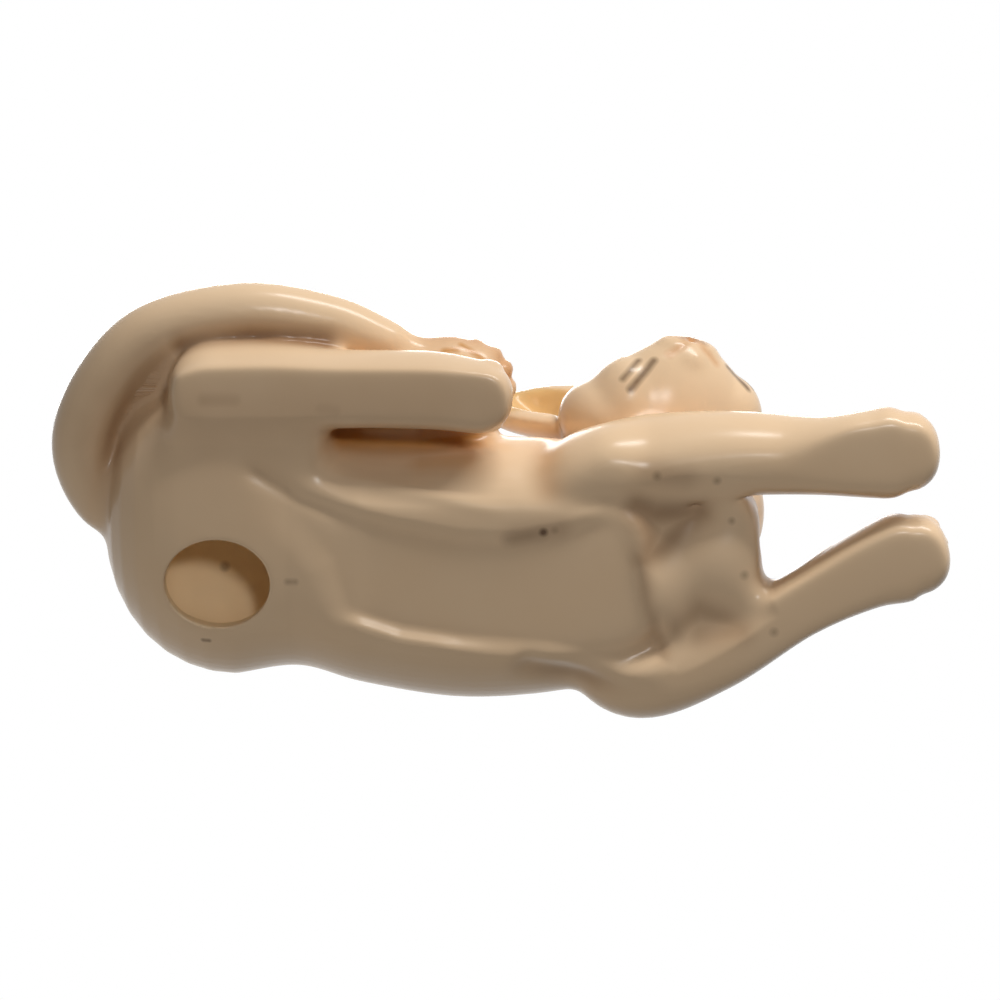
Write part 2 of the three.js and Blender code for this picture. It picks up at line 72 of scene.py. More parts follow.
def castLoft(stations, ends, steps=40, sides=40, heading=None, blunt=0.8):
    rows = alongStations(stations, steps)
    centres = [Vector(r[:3]) for r in rows]
    rings = []
    for i, row in enumerate(rows):
        along = heading or centres[min(i + 1, steps)] - centres[max(i - 1, 0)]
        rings.append((centres[i], along.normalized(), row[3], row[4]))
    for end, place in ((-1, 0), (1, -1)):  # round off both ends
        centre, along, wide, tall = rings[place]
        for k in range(1, roundEnd["rings"] + 1):
            angle = roundEnd["turn"] * k / roundEnd["rings"]
            less = math.cos(angle) ** blunt
            tip = centre + along * end * ends[place] * math.sin(angle)
            rings.insert(0 if end < 0 else len(rings), (tip, along, wide * less, tall * less))
    rings = [ringMatrix(*r) for r in rings]
    bm = bmesh.new()
    ring = bmesh.ops.create_circle(bm, segments=sides, radius=1, matrix=rings[0])["verts"]
    edges = list({e for v in ring for e in v.link_edges})
    bmesh.ops.edgeloop_fill(bm, edges=edges)
    for before, after in zip(rings, rings[1:]):
        grown = bmesh.ops.extrude_edge_only(bm, edges=edges)["geom"]
        ring = {g for g in grown if isinstance(g, bmesh.types.BMVert)}
        edges = [g for g in grown if isinstance(g, bmesh.types.BMEdge) and ring.issuperset(g.verts)]
        bmesh.ops.transform(bm, matrix=after @ before.inverted(), verts=list(ring))
    bmesh.ops.edgeloop_fill(bm, edges=edges)
    bmesh.ops.recalc_face_normals(bm, faces=bm.faces)
    return bm


def castBall(centre, size, turn=None):
    bm = bmesh.new()
    scale = Matrix.Diagonal((*[s / 2 for s in size], 1))
    place = Matrix.Translation(centre) @ (turn or Matrix()).to_4x4() @ scale
    bmesh.ops.create_uvsphere(bm, u_segments=40, v_segments=24, radius=1, matrix=place)
    return bm


def castTube(stations, ends, **more):  # round sections: x, y, z, radius
    return castLoft([(*s, s[-1]) for s in stations], ends, **more)


forms = []  # (name, CAD node, bmesh)


def keepForm(name, node, bm, turn=None):
    if turn:
        bmesh.ops.transform(bm, matrix=turn, verts=bm.verts)
    forms.append((name, node, bm))


# Body. A loft's stations are x, y, z, half width and half height
body = {
    "torso": [
        (-46.4, 6, 17.3, 27.8, 20.7), (-35.1, 8.6, 17.1, 23.6, 20.4), (-23.8, 13, 16.2, 22, 19.5),
        (-6.9, 14.5, 15.5, 23, 18.8), (10.1, 14.3, 15.8, 22.2, 19.2), (23.7, 14, 16.9, 19.3, 19.3),
        (33.8, 13.3, 18.8, 13.6, 13.2), (39.5, 13.3, 17.3, 9, 7.8),
    ],
    "torsoEnds": (22.6, 4),
    "torsoBlunt": 0.88,
    "neck": [(28.8, 13, 18, 13.3, 12.9), (34.2, 6, 23, 12.7, 11.5), (30.8, -0.6, 27, 12, 10.4)],
    "neckEnds": (3, 3),
    "lumps": {  # centre, size
        "breast": ((37, 12.6, 11), (16.4, 19, 20)),
        "brisket": ((29.4, 17.5, 9.4), (14, 18, 16.4)),
        "armpit": ((42, 17, 8), (9, 9, 13)),
        "rightShoulder": ((18.6, -0.3, 20.9), (26, 14.6, 29)),
        "leftShoulder": ((18.6, 28.3, 15.1), (26, 14.6, 29)),
        "neckFold": ((19.5, -10.6, 25.8), (18.5, 14.5, 14)),
        "throat": ((38.5, 5, 13), (13, 12, 16)),
        "elbowWeb": ((35.5, 21.5, 8), (16, 14, 13)),
    },
}
torso = castLoft(body["torso"], body["torsoEnds"], steps=60, sides=64, heading=alongX,
                 blunt=body["torsoBlunt"])
keepForm("torso", "body_shell", torso)
keepForm("neck", "body_shell", castLoft(body["neck"], body["neckEnds"]))
for lump, (centre, size) in body["lumps"].items():
    keepForm(lump, "body_shell", castBall(centre, size))

# Head in its own frame: x to the nose, y to the left cheek, z to the crown
head = {
    "place": (29.8, -7.6, 30),
    "turn": -78,
    "tilt": 14,
    "skull": [
        (-14.2, 0, 0.5, 8.4, 6.5), (-10.9, 0, 0.7, 12, 9.6), (-5, 0, 0.8, 15.2, 11.6),
        (1, 0, 0.5, 15.6, 11.3), (5.6, 0, 0.1, 15, 10.2), (9.6, 0, -0.9, 12.6, 8),
        (12.9, 0, -1.2, 9.2, 6), (15.2, 0, -1.1, 6, 4.5),
    ],
    "skullEnds": (2, 2),
    "lumps": {  # centre, size, sides
        "cheek": ((3.4, 9.2, -1.8), (17.5, 14.8, 14.6), (1, -1)),
        "pad": ((13.8, 2.4, -1.8), (6.4, 6, 5.4), (1, -1)),
        "chin": ((12.4, 0, -5), (6.6, 6.4, 5), (1,)),
        "nose": ((15.6, 0, 1.6), (4, 4.6, 3), (1,)),
    },
}
headFrame = (Matrix.Translation(head["place"]) @ Matrix.Rotation(math.radians(head["turn"]), 4, "Z")
             @ Matrix.Rotation(math.radians(head["tilt"]), 4, "X"))
skull = castLoft(head["skull"], head["skullEnds"], sides=48, heading=alongX)
keepForm("skull", "head", skull, headFrame)
for lump, ((x, y, z), size, sides) in head["lumps"].items():
    for side in sides:
        keepForm(lump, "head", castBall((x, y * side, z), size), headFrame)

# Ears: lofted along x with the hollow side up, then stood up on the head
ear = {
    "place": (-2.6, 11.2, 7.2),
    "lean": 58,
    "sweep": -0.1,
    "turn": 21,
    "length": 19.5,
    "width": 17,
    "thick": 7.2,
    "thickLeast": 0.5,
    "shape": [(-0.3, 0.92), (0, 1), (0.33, 0.98), (0.62, 0.84), (0.82, 0.62), (0.94, 0.4)],  # share, wide
    "ends": (2, 1.6),
    "curl": 0.34,
    "rim": 3.0,
    "hollowWide": 1.02,
    "hollowTaper": (0.56, 1.9),  # amount, power
    "hollowLeast": 0.3,
    "hollowTip": 0.86,
    "hollowFade": 0.3,
    "hollowDepth": 1.15,
}
earPlaces = {}
for side, node in ((-1, "right_ear"), (1, "left_ear")):
    lean, turn = math.radians(ear["lean"]), math.radians(ear["turn"])
    out = Vector((ear["sweep"], side * math.sin(lean), math.cos(lean))).normalized()
    forward = (alongX - out * out.x).normalized()
    aside = out.cross(forward) * (1 if out.cross(forward).y * side > 0 else -1)
    front = forward * math.cos(turn) + aside * math.sin(turn)
    half, thick, length = ear["width"] / 2, ear["thick"] / 2, ear["length"]
    least = ear["thickLeast"]
    stations = [(s * length, 0, 0, half * w, thick * (least + (1 - least) * w)) for s, w in ear["shape"]]
    bm = castLoft(stations, ear["ends"], sides=48, heading=alongX)
    taper, power = ear["hollowTaper"]
    for v in bm.verts:
        s = v.co.x / length
        edge = half * max(ear["hollowLeast"], ear["hollowWide"] - taper * max(s, 0) ** power)
        cup = max(0, 1 - (v.co.y / max(1, edge - ear["rim"])) ** 2)
        cup *= max(0, min(1, (ear["hollowTip"] - s) / ear["hollowFade"]))
        v.co.z += ear["curl"] * v.co.y ** 2 / half  # the rims curl towards the front
        if v.co.z > 0:
            v.co.z -= cup * thick * ear["hollowDepth"]
    stand = Matrix((out, front.cross(out), front)).transposed().to_4x4()
    x, y, z = ear["place"]
    stand.translation = Vector((x, y * side, z))
    bmesh.ops.recalc_face_normals(bm, faces=bm.faces)
    keepForm("ear", node, bm, headFrame @ stand)
    earPlaces[node] = headFrame @ stand

# Forelegs
rightForeleg = {
    "leg": [
        (10, 1, 10.5, 8, 9.8), (16.8, -3.2, 9.8, 7.7, 10), (25.8, -5.4, 7.8, 7.4, 9.2),
        (38.8, -6.7, 5.6, 7, 7.7), (52.8, -6.6, 4.9, 6.5, 7.3), (61.8, -7, 4.9, 7.4, 7.3),
        (66, -7.3, 4.9, 7.8, 7.3), (69, -7.5, 4.9, 6.8, 6.9),
    ],
    "ends": (5, 5.4),
    "lean": 0.3,
    "leanSide": 1,
    "leanStart": (16, 10),  # place, fade
    "leanEnd": (60, 14),
}
bm = castLoft(rightForeleg["leg"], rightForeleg["ends"], steps=60, sides=48)
(start, startFade), (end, endFade) = rightForeleg["leanStart"], rightForeleg["leanEnd"]
for v in bm.verts:  # the outer side of the upper arm lifts off the table
    lift = max(0, min(1, (v.co.x - start) / startFade, (end - v.co.x) / endFade))
    outside = max(0, rightForeleg["leanSide"] - v.co.y)
    v.co.z += rightForeleg["lean"] * lift * lift * (3 - 2 * lift) * outside
keepForm("foreleg", "right_foreleg", bm)

leftForeleg = {
    "leg": [
        (14.8, 26, 14.6, 7.9, 11.9), (23.8, 32, 9.2, 7.9, 9.6), (36.8, 28, 6.2, 6.5, 7.8),
        (50.8, 19.3, 4.9, 5.6, 7.3), (61.6, 13.4, 4.9, 6.7, 7.3), (68, 11, 4.9, 7.7, 7.3),
        (71, 10.3, 4.9, 6.9, 6.9),
    ],
    "ends": (5, 5.6),
}
bm = castLoft(leftForeleg["leg"], leftForeleg["ends"], steps=60, sides=48)
keepForm("foreleg", "left_foreleg", bm)

# Hind legs
lowerHindLeg = {
    "shin": [
        (-48, -16.9, 5.4, 9, 8.6), (-38, -17.8, 5, 8, 8.2), (-27, -18.1, 4.6, 6.6, 7.4),
        (-12.2, -17.9, 4.6, 6.5, 7.4), (-4.2, -16.9, 4.6, 6.2, 7.4),
    ],
    "shinEnds": (8, 6.4),
    "lean": 0.9,
    "leanSide": -20.8,
    "leanTop": 14,
    "tailRest": [
        (-61, -18, 14, 3.4, 4), (-50, -23.6, 12, 3, 4), (-40, -24.6, 12.2, 3, 4), (-30, -23.8, 13, 3, 4),
    ],
    "tailRestEnds": (4, 4),
    "thigh": [(-50, -10, 7.5, 13, 8.5), (-42, -9, 7.5, 14.5, 8.6), (-34.5, -8.6, 7.2, 13, 8)],
    "thighEnds": (7, 5.4),
}
bm = castLoft(lowerHindLeg["shin"], lowerHindLeg["shinEnds"], steps=60, sides=48)
for v in bm.verts:  # the outer side leaves the table
    outside = max(0, lowerHindLeg["leanSide"] - v.co.y)
    low = max(0, min(1, 1 - v.co.z / lowerHindLeg["leanTop"]))
    v.co.z += lowerHindLeg["lean"] * outside * low
keepForm("shin", "lower_hind_leg", bm)
tailRest = castLoft(lowerHindLeg["tailRest"], lowerHindLeg["tailRestEnds"], steps=30)
keepForm("tailRest", "lower_hind_leg", tailRest)
lowerThigh = castLoft(lowerHindLeg["thigh"], lowerHindLeg["thighEnds"], sides=48)
keepForm("lowerThigh", "lower_hind_leg", lowerThigh)

upperHindLeg = {
    "thigh": [
        (-59, -10.1, 23.2, 14.8, 13.2), (-45, -6.2, 24.4, 15.4, 13.6), (-28, -7.6, 22.6, 12.6, 12.2),
        (-13, -10.6, 19.6, 8.4, 9.4), (-5, -11.6, 18.6, 5.6, 6.8),
    ],
    "thighEnds": (12.3, 4.6),
    "foot": [
        (-34, -14.4, 20.5, 7.4, 6.6), (-20, -18.4, 18.1, 6.3, 5.8), (-10.2, -19.6, 17.5, 6.2, 5.5),
        (-5, -19.2, 17.5, 5.8, 5.4),
    ],
    "footEnds": (4, 5.2),
}
for name in ("thigh", "foot"):
    bm = castLoft(upperHindLeg[name], upperHindLeg[name + "Ends"], sides=48)
    keepForm(name, "upper_hind_leg", bm)

tail = {
    "path": [
        (-62, 8.4, 19, 5.2), (-69.5, 1.8, 15, 5.2), (-72, -8, 12, 5.2), (-67.6, -18.7, 11, 5.2),
        (-58.8, -27.1, 11, 5.2), (-43.6, -30.4, 12, 5.2), (-29.6, -28.4, 14, 4.9),
        (-20.6, -24.9, 15.8, 4.3), (-14.5, -22.2, 17, 3.3),
    ],
    "ends": (4, 3),
}
keepForm("tail", "tail", castTube(tail["path"], tail["ends"], steps=90))

toes = {
    "row": (-1.5, -0.5, 0.5, 1.5),
    "arc": 0.75,  # the outer toes stand back
    "setBack": 1,
    "paws": {  # tip, heading, spread, size of one toe
        "right_foreleg": ((72.6, -7.8, 7.6), (1, -0.05), 2.8, (6, 4.2, 6.4)),
        "left_foreleg": ((75.2, 10.4, 7.6), (1, 0), 2.9, (6, 4.2, 6.4)),
        "lower_hind_leg": ((0.4, -16.8, 6.2), (1, 0), 2.9, (6, 3.8, 6.4)),
        "upper_hind_leg": ((-0.5, -20.9, 18), (0.78, -0.62), 2.9, (6.4, 4.3, 6.2)),
    },
}
for node, (tip, heading, spread, size) in toes["paws"].items():
    ahead = Vector((*heading, 0)).normalized()
    aside = Vector((-ahead.y, ahead.x, 0))
    turn = Matrix.Rotation(math.atan2(ahead.y, ahead.x), 4, "Z")
    for k in toes["row"]:
        centre = Vector(tip) + aside * spread * k - ahead * (toes["arc"] * k * k + toes["setBack"])
        keepForm("toe", node, castBall(centre, size, turn))
print("castings", len(forms))

# Luting: the raw castings become one skin
joined = bmesh.new()
scratch = bpy.data.meshes.new("scratch")
for name, node, bm in forms:
    bm.to_mesh(scratch)
    joined.from_mesh(scratch)
rawMesh = bpy.data.meshes.new("rawCastings")
joined.to_mesh(rawMesh)
joined.free()


def bakedCopy(mesh, *modifiers):
    work = bpy.data.objects.new("work", mesh)
    bpy.context.scene.collection.objects.link(work)
    for kind, settings in modifiers:
        modifier = work.modifiers.new(kind, kind)
        for key, value in settings.items():
            setattr(modifier, key, value)
    result = bpy.data.meshes.new_from_object(work.evaluated_get(bpy.context.evaluated_depsgraph_get()))
    bpy.data.objects.remove(work)
    return result


skinVoxel = 0.45
evenMesh = ("REMESH", {"mode": "VOXEL", "voxel_size": skinVoxel, "adaptivity": 0})
skin = bakedCopy(rawMesh, evenMesh)
print("skin", len(skin.vertices), "points")

# The slip was poured out through the vent, which left the hollow
hollow = {
    "vent": (-48, 14.7, 1),
    "ventSize": (18, 15.4, 16),
    "space": [(-52.5, 13.7, 8.9, 9.6, 6), (-48, 14.1, 9.1, 10.4, 6.2), (-43.5, 14.1, 8.9, 9.6, 6)],
    "spaceEnds": (6.5, 6.5),
}
ventScale = Matrix.Diagonal((*[s / 2 for s in hollow["ventSize"]], 1))
ventMatrix = Matrix.Translation(hollow["vent"]) @ ventScale
ventTool = bmesh.new()
bmesh.ops.create_cone(ventTool, cap_ends=True, segments=96, radius1=1, radius2=1, depth=2,
                      matrix=ventMatrix)
spaceTool = castLoft(hollow["space"], hollow["spaceEnds"], steps=30, sides=48, heading=alongX)
tools = []
for name, bm in (("vent", ventTool), ("space", spaceTool)):
    toolMesh = bpy.data.meshes.new(name)
    bm.to_mesh(toolMesh)
    tool = bpy.data.objects.new(name, toolMesh)
    bpy.context.scene.collection.objects.link(tool)
    tools.append(tool)
cut = [("BOOLEAN", {"operation": "DIFFERENCE", "solver": "MANIFOLD", "object": t}) for t in tools]
skin = bakedCopy(skin, *cut, evenMesh)
for tool in tools:
    bpy.data.objects.remove(tool)
print("hollowed", len(skin.vertices), "points")

# Reading and moving the skin's points
far = 99.0  # mm, for what is out of reach
count = len(skin.vertices)
points = np.empty(count * 3)
skin.vertices.foreach_get("co", points)
points = points.reshape(-1, 3)
skinEdges = np.empty(len(skin.edges) * 2, np.int32)
skin.edges.foreach_get("vertices", skinEdges)
skinEdges = skinEdges.reshape(-1, 2)
valence = np.bincount(skinEdges.ravel(), minlength=count)


def neighbourMean(values):
    a, b = skinEdges.T
    total = np.bincount(a, values[b], count) + np.bincount(b, values[a], count)
    return total / valence


def relax(moved, weight, rounds):
    for _ in range(rounds):
        mean = np.stack([neighbourMean(moved[:, k]) for k in range(3)], 1)
        moved = moved + weight * (mean - moved)
    return moved


def evenOut(moved, rounds, shrink=0.5, swell=-0.52):  # takes the voxel steps out and keeps the volume
    for _ in range(rounds):
        moved = relax(relax(moved, shrink, 1), swell, 1)
    return moved


def rubbed(weight, rounds):  # the points, moved up to halfway to their neighbours in each round
    return relax(points, 0.5 * weight[:, None], rounds)


def nearTo(centre, reach, edge, stretch=1):  # 1 around a place, fading out
    gap = np.linalg.norm((points[:, :len(centre)] - centre) / stretch, axis=1)
    return np.clip(edge - gap / reach, 0, 1)


def skinNormals():
    skin.vertices.foreach_set("co", points.ravel())
    skin.update()
    normals = np.empty(count * 3)
    skin.vertex_normals.foreach_get("vector", normals)
    return normals.reshape(-1, 3)


def gapTo(bm, reach):
    tree = BVHTree.FromBMesh(bm)
    corners = np.array([v.co for v in bm.verts])
    near = np.all((points > corners.min(0) - reach) & (points < corners.max(0) + reach), axis=1)
    gap = np.full(count, far)
    for i in np.flatnonzero(near):
        hit = tree.find_nearest(Vector(points[i]), reach)
        if hit[0] is not None:
            gap[i] = hit[3]
    return gap


def lineGap(line, shares=False, places=None):  # a line in two dimensions is on the table
    line = np.array(line, float)
    where = (points if places is None else places)[:, :line.shape[1]]
    lengths = np.linalg.norm(line[1:] - line[:-1], axis=1)
    whole = max(lengths.sum(), 1e-9)
    best = np.full(len(where), far)
    share = np.zeros(len(where))
    for k, (a, b) in enumerate(zip(line, line[1:])):
        t = np.clip((where - a) @ (b - a) / max(lengths[k] ** 2, 1e-9), 0, 1)
        gap = np.linalg.norm(where - a - t[:, None] * (b - a), axis=1)
        share = np.where(gap < best, (lengths[:k].sum() + t * lengths[k]) / whole, share)
        best = np.minimum(best, gap)
    return (best, share) if shares else best


def insideOf(loop):
    odd = np.zeros(count, bool)
    x, y = points[:, 0], points[:, 1]
    for (ax, ay), (bx, by) in zip(loop, loop[1:]):
        crossed = (ay > y) != (by > y)
        odd ^= crossed & (x < (bx - ax) * (y - ay) / (by - ay + 1e-9) + ax)
    return odd


def soft(gap, width):
    return np.exp(-(gap / width) ** 2)


def eased(t):
    t = np.clip(t, 0, 1)
    return t * t * (3 - 2 * t)


# Which casting each point of the skin came from
seams = {
    "reach": 4.0,
    "rounds": 14,
    "hold": 0.3,  # how firmly a point keeps to its casting
    "ventRim": 1.5,
    "details": ("toe", "cheek", "pad", "chin", "nose", "ear"),  # keep their crisp edges
}
gaps = np.stack([gapTo(bm, seams["reach"]) for name, node, bm in forms])
ventGap = np.minimum(gapTo(ventTool, seams["reach"]), gapTo(spaceTool, seams["reach"]))
nodeNames = sorted({node for name, node, bm in forms})
formNode = np.array([nodeNames.index(node) for name, node, bm in forms])
detail = np.array([name in seams["details"] for name, node, bm in forms])
owner = formNode[gaps.argmin(0)]
for _ in range(seams["rounds"]):  # straightens the seams between castings
    own = [owner == k for k in range(len(nodeNames))]
    owner = np.stack([neighbourMean(o * 1.0) + seams["hold"] * o for o in own]).argmax(0)
owner[ventGap < seams["ventRim"]] = nodeNames.index("body_shell")
isHead = owner == nodeNames.index("head")
largeGaps = np.sort(np.where(detail[:, None], far, gaps), axis=0)

# No glaze inside the vent
unglazed = {"gap": 0.25, "edge": 1.6, "start": 0.8, "fade": 1.2}
bareClay = np.clip(unglazed["edge"] - ventGap / unglazed["gap"], 0, 1)
bareClay *= np.clip((points[:, 2] - unglazed["start"]) / unglazed["fade"], 0, 1)
print("castings found on the skin")

# The slip that fills each joint
slip = {
    "evenRounds": 3,
    "joint": (3.2, 70),  # width, rounds
    "ventRim": (0.9, 5),
    "ventRimTop": 5,
    "headRounds": 16,
    "chest": ((34, 14, 4), 9, 1.6, (1, 1.2, 1)),  # centre, reach, edge, stretch
    "chestRounds": 60,
    "pocket": ((-58, -19.5, 10), 5, 1.5),  # between tail and hock
    "pocketRounds": 40,
}
points = evenOut(points, slip["evenRounds"])
width, rounds = slip["joint"]
points = rubbed(np.clip(1 - largeGaps[1] / width, 0, 1), rounds)
width, rounds = slip["ventRim"]
points = rubbed(np.clip(1 - ventGap / width, 0, 1) * (points[:, 2] < slip["ventRimTop"]), rounds)
points = rubbed(isHead, slip["headRounds"])
points = rubbed(nearTo(*slip["chest"]), slip["chestRounds"])
points = rubbed(nearTo(*slip["pocket"]), slip["pocketRounds"])

# The base is rubbed flat while the clay is leather hard
base = {
    "haunchRound": 3.0,
    "bellyRound": 0.9,
    "haunchFront": -30,
    "frontFade": 12,
    "haunchRight": -9,
    "rightFade": 5,
}
ahead = (points[:, 0] - base["haunchFront"] + base["frontFade"] / 2) / base["frontFade"]
aside = (base["haunchRight"] - points[:, 1]) / base["rightFade"]
belly = np.maximum(np.clip(ahead, 0, 1), np.clip(aside, 0, 1))
rounding = base["haunchRound"] + (base["bellyRound"] - base["haunchRound"]) * belly
height = points[:, 2]
points[:, 2] = (height + np.sqrt(height ** 2 + rounding ** 2)) / 2

# The belly panel is sunk a little into the base, and creases run beside it
underside = {"gain": 3, "top": 12}
panel = {
    "edge": [
        (-46, -8.4), (-41.7, -5.3), (-38.7, -2.9), (-33.7, 0.2), (-27, 2.6), (-16.9, 4.6), (-6.8, 6.7),
        (3.4, 7), (12, 5), (18, 2.9), (20.6, 3), (22.2, 5), (23, 8), (23.7, 12.2), (25.1, 19.7),
        (27.8, 26.3), (29, 28.2), (20.5, 29), (12.4, 27), (8, 26.1), (-6.8, 24.9), (-17, 23.3),
        (-26.3, 20.5), (-27.7, 18.8), (-30, 11.5), (-33.8, 7), (-38, 3.6), (-42.5, 1.2), (-46, -8.4),
    ],
    "depth": 0.7,
    "haunchShare": 0.6,  # of the depth
    "slope": (6.5, 4),  # at the haunch and at the chest
    "haunchFront": -32,
    "start": -44,
    "fade": 12,
    "top": 3,
}
creases = {
    "lines": {  # line on the table, width, depth
        "haunch": ([(-44.2, -6.8), (-38.7, -2.9), (-33.7, 0.2), (-27, 2.6), (-16.9, 4.6)], 1.7, 0.45),
        "flankRidge": ([(-27.5, -3.2), (-19, -1.8), (-11, -0.5), (-4, 0.8), (3, 2.4)], 1.3, -0.4),
        "bellyRidge": ([(-28, 20.4), (-17, 24), (-6.8, 25.6), (2, 26.6)], 1.3, -0.35),
        "shoulder": ([(1, 28), (7.7, 29.8), (13.7, 31.2), (20.6, 33.2), (29.5, 34.2)], 2.0, 1.1),
    },
    "fadeIn": 0.15,
    "fadeOut": 0.45,
    "settle": (0.3, 2),  # weight, rounds
}
normals = skinNormals()
below = np.clip(-normals[:, 2] * underside["gain"], 0, 1) * (points[:, 2] < underside["top"])
edgeGap = lineGap(panel["edge"])
ahead = eased((points[:, 0] - panel["haunchFront"]) / panel["fade"])
slope = panel["slope"][0] + (panel["slope"][1] - panel["slope"][0]) * ahead
sunk = eased(np.where(insideOf(panel["edge"]), edgeGap, -edgeGap) / slope + 0.5)
sunk *= panel["haunchShare"] + (1 - panel["haunchShare"]) * ahead
sunk *= eased((points[:, 0] - panel["start"]) / panel["fade"]) * (points[:, 2] < panel["top"]) * below
points[:, 2] += panel["depth"] * sunk
for line, width, depth in creases["lines"].values():
    gap, share = lineGap(line, True)
    press = soft(gap, width) * depth * below
    press = press * eased(share / creases["fadeIn"]) * eased((1 - share) / creases["fadeOut"])
    points -= normals * press[:, None]
points = relax(points, *creases["settle"])

# Between the forelegs the mould left a shallow relief: a plate with a ball, a ridge and two recesses
chest = {
    "edge": [
        (23.5, -2.5), (30, -4), (37, -4), (44, -2), (47, 4), (47.5, 10), (46, 16), (47.5, 20), (42, 24),
        (35.5, 28), (30, 30.5), (27, 26), (25, 19.7), (23.7, 12.2), (23, 7), (23.5, -2.5),
    ],
    "level": 1.3,
    "relief": 0.22,
    "fade": 4,
    "top": 13,
    "rubGain": 3,
    "rounds": 60,
    "spotGain": 2,
    "spots": [  # line on the table, width, height
        ([(36.8, 12.6)] * 2, 7, 0.5),
        ([(27, 4.5), (34, 4.2), (29.5, 8.5), (27.5, 10)], 3, -0.8),
        ([(33.5, 20.5), (38, 20.6), (41, 22.4)], 3, -0.7),
        ([(27.6, 12.5), (29, 20)], 2.6, 0.4),
    ],
    "corner": ((22, 4.5), 4, 1.6),  # where the panel meets the plate: centre, reach, edge
    "cornerTop": 8,
    "cornerRounds": 40,
}
edgeGap = lineGap(chest["edge"])
plate = eased(np.where(insideOf(chest["edge"]), edgeGap, -1) / chest["fade"])
plate *= points[:, 2] < chest["top"]
points[:, 2] += plate * (chest["relief"] - 1) * (points[:, 2] - chest["level"])
for line, width, rise in chest["spots"]:
    points[:, 2] -= soft(lineGap(line), width) * rise * np.minimum(plate * chest["spotGain"], 1)
points = rubbed(np.clip(plate * chest["rubGain"], 0, 1), chest["rounds"])
points = rubbed(nearTo(*chest["corner"]) * (points[:, 2] < chest["cornerTop"]), chest["cornerRounds"])

# Face, in the head's own frame
face = {
    "eye": (8.8, 6.2, 6.6),
    "ball": (2.0, 0.75),  # width, rise
    "socket": (3.4, -0.8),
    "mouth": [(16.6, 0, -2.6), (15.4, 2, -4.4), (13, 4.4, -4.6)],
    "lips": (0.8, -0.4),
}


def seenFrom(place):  # the points in the frame of the head or of an ear
    back = np.array(place.inverted())
    return points @ back[:3, :3].T + back[:3, 3]


for side in (1, -1):
    mirrored = seenFrom(headFrame) * (1, side, 1)
    eyeGap = np.linalg.norm(mirrored - face["eye"], axis=1)
    mouthGap = lineGap(face["mouth"], places=mirrored)
    push = np.zeros(count)
    for gap, feature in ((eyeGap, "ball"), (eyeGap, "socket"), (mouthGap, "lips")):
        width, rise = face[feature]
        push += soft(gap, width) * rise
    points += normals * (push * isHead)[:, None]
points[:, 2] = np.maximum(points[:, 2], 0)
normals = skinNormals()
print("sculpted")


# Airbrushed washes with painted shade and painted light: each is a weight on the skin's points
def brushed(weight, lines, where=1):  # line, width, strength
    for line, width, strength in lines:
        weight = np.maximum(weight, soft(lineGap(line), width) * strength * where)
    return weight


tan = {
    "pool": 0.4,  # strength of the painted shade in the hollows
    "poolDepth": 0.5,
    "slow": (0.6, 40),
    "clear": [(head["place"], 15, 8), ((46, 9, 5), 7, 7)],  # centre, radius, fade
    # tan airbrush and painted shade: painted shade in the crevices by the tail, on the shaded haunch,
    # flank and lower leg, in the shoulder and panel grooves and under the right foreleg; the two short
    # lines near the haunch are smudges
    "lines": [
        ([(-57.9, -22.7, 11), (-65.2, -16.2, 11), (-68.2, -8.9, 12), (-65.5, 0.4, 13)], 5, 0.6),
        ([(-53.6, -25.6, 8), (-42.5, -26.6, 8.6), (-30, -25.2, 9.4)], 2.6, 0.9),
        ([(-52, -13, 0), (-44, -7, 0), (-38, -9, 0)], 10, 0.1),
        ([(-26, -5, 4), (-14, -4, 4), (-4, -3, 5)], 3, 0.12),
        ([(-50, -13, 0), (-38, -15, 0), (0, -17, 0)], 7, 0.2),
        ([(3.3, 28.6, 4), (13.7, 31.2, 4), (27.9, 33.9, 4)], 2, 0.4),
        ([(3, 6.2, 0), (7.3, 5.5, 0), (10, 5.2, 0)], 2.2, 0.3),
        ([(-49.4, -16.8, 1), (-44.3, -16.8, 1)], 1.8, 0.4),
        ([(-30, -15.5, 1), (-27.5, -15.2, 1)], 2, 0.35),
        ([(25, -5, 0), (31, -3.7, 0)], 2.4, 0.3),
    ],
    "recesses": [  # painted shade in the recesses between the forelegs
        ([(23, 1.4), (26.1, 2.8), (34, 2.7), (30.9, 5.4), (27.6, 8.6), (24.5, 10.2)], 2.2, 0.5),
        ([(30.3, 22.4), (34, 19.2), (37.4, 20.6), (41, 22.6), (34.1, 23.6)], 2.2, 0.36),
        ([(24.2, 11), (24.8, 17), (26.2, 22), (28, 26.6)], 1.4, 0.3),
        ([(22.6, 1.8), (24.4, 4), (25.4, 6.5), (25, 9.5)], 2.2, 0.5),
    ],
}
# painted shade that deepens with how hollow the skin is
hollowness = ((relax(points, *tan["slow"]) - points) * normals).sum(1)
tanWash = tan["pool"] * np.clip(hollowness / tan["poolDepth"], 0, 1)
for centre, radius, fade in tan["clear"]:
    tanWash *= eased((np.linalg.norm(points - centre, axis=1) - radius) / fade)
tanWash = brushed(tanWash, tan["lines"])
facingDown = (normals[:, 2] < 0) * (points[:, 2] < underside["top"])
tanWash = brushed(tanWash, tan["recesses"], facingDown)

